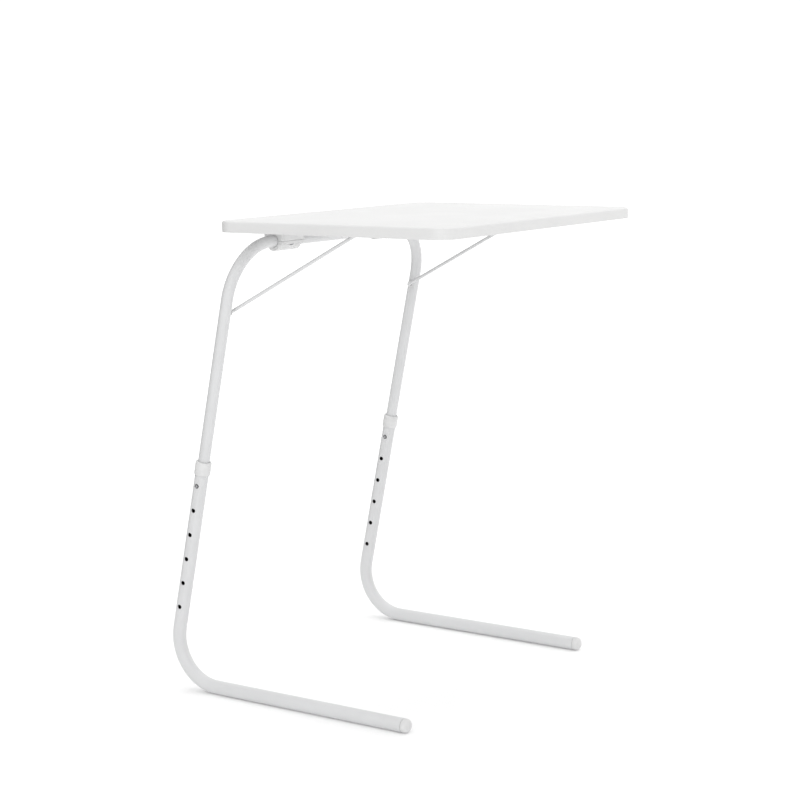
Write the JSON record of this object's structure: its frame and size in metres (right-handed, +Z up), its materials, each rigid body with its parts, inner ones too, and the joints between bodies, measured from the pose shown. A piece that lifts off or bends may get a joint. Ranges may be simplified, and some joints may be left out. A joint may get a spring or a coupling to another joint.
{
  "type": "folding height-adjustable tray table",
  "caption": "White folding lap desk: a moulded tray on a telescoping cantilever tube frame with forward feet, a tilting top held by a wire prop, and sprung locking buttons.",
  "frame": {"origin": "on the floor, at the middle of the bounding box's bottom", "axes": "+Z up, +X from the left leg to the right leg as the user sees them, -Y to the front, where the feet point and the user sits"},
  "size_m": [0.52, 0.5038, 0.6985],
  "materials": {
    "white_paint": "semi-gloss powder coat",
    "white_plastic": "fine moulded grain",
    "white_fittings": "smooth satin",
    "bright_steel": "bright nickel plate",
    "spring_steel": "blued strip"
  },
  "bodies": {
    "legs": {"leg_tube_left": "white_paint", "foot_plug_left": "white_fittings", "collar_left": "white_fittings", "leg_tube_right": "white_paint", "foot_plug_right": "white_fittings", "collar_right": "white_fittings"},
    "upper_frame": {"upper_frame_tube": "white_paint", "frame_plug_left": "white_fittings", "button_spring_left": "spring_steel", "prop_bush_left": "white_fittings", "frame_plug_right": "white_fittings", "button_spring_right": "spring_steel", "prop_bush_right": "white_fittings"},
    "button_left": {"lock_button_left": "bright_steel"},
    "button_right": {"lock_button_right": "bright_steel"},
    "tray": {"tray_top": "white_plastic", "hinge_saddle_left": "white_fittings", "hinge_strap_left": "white_fittings", "catch_rail_left": "white_fittings", "hinge_saddle_right": "white_fittings", "hinge_strap_right": "white_fittings", "catch_rail_right": "white_fittings", "hinge_screw_left_front": "bright_steel", "hinge_screw_left_rear": "bright_steel", "hinge_screw_right_front": "bright_steel", "hinge_screw_right_rear": "bright_steel", "rail_screw_left_front": "bright_steel", "rail_screw_left_rear": "bright_steel", "rail_screw_right_front": "bright_steel", "rail_screw_right_rear": "bright_steel"},
    "prop": {"prop_wire": "white_paint"}
  },
  "joints": [
    {"name": "height_slide", "type": "slide", "parent": "legs", "child": "upper_frame", "axis": [0, -0.2106, 0.9776], "range_m": [-0.19, 0], "deforming": ["lock_button_left", "button_spring_left", "lock_button_right", "button_spring_right"]},
    {"name": "tray_tilt", "type": "hinge", "parent": "upper_frame", "child": "tray", "pos_m": [0, 0.11747, 0.66318], "axis": [1, 0, 0], "range_deg": [0, 102]},
    {"name": "prop_swing", "type": "hinge", "parent": "upper_frame", "child": "prop", "pos_m": [0, 0.1382, 0.56699], "axis": [1, 0, 0], "range_deg": [0, 124.5]},
    {"name": "button_left_press", "type": "slide", "parent": "upper_frame", "child": "button_left", "axis": [0.9914, 0.1276, 0.0275], "range_m": [0, 0.004], "stiffness_N_per_m": 800, "springref_m": -0.002},
    {"name": "button_right_press", "type": "slide", "parent": "upper_frame", "child": "button_right", "axis": [0.9914, 0.1276, 0.0275], "range_m": [0, 0.004], "stiffness_N_per_m": 800, "springref_m": -0.002}
  ],
  "couplings": [
    {"joint": "prop_swing", "follows": "tray_tilt", "ratio": 1.22}
  ]
}
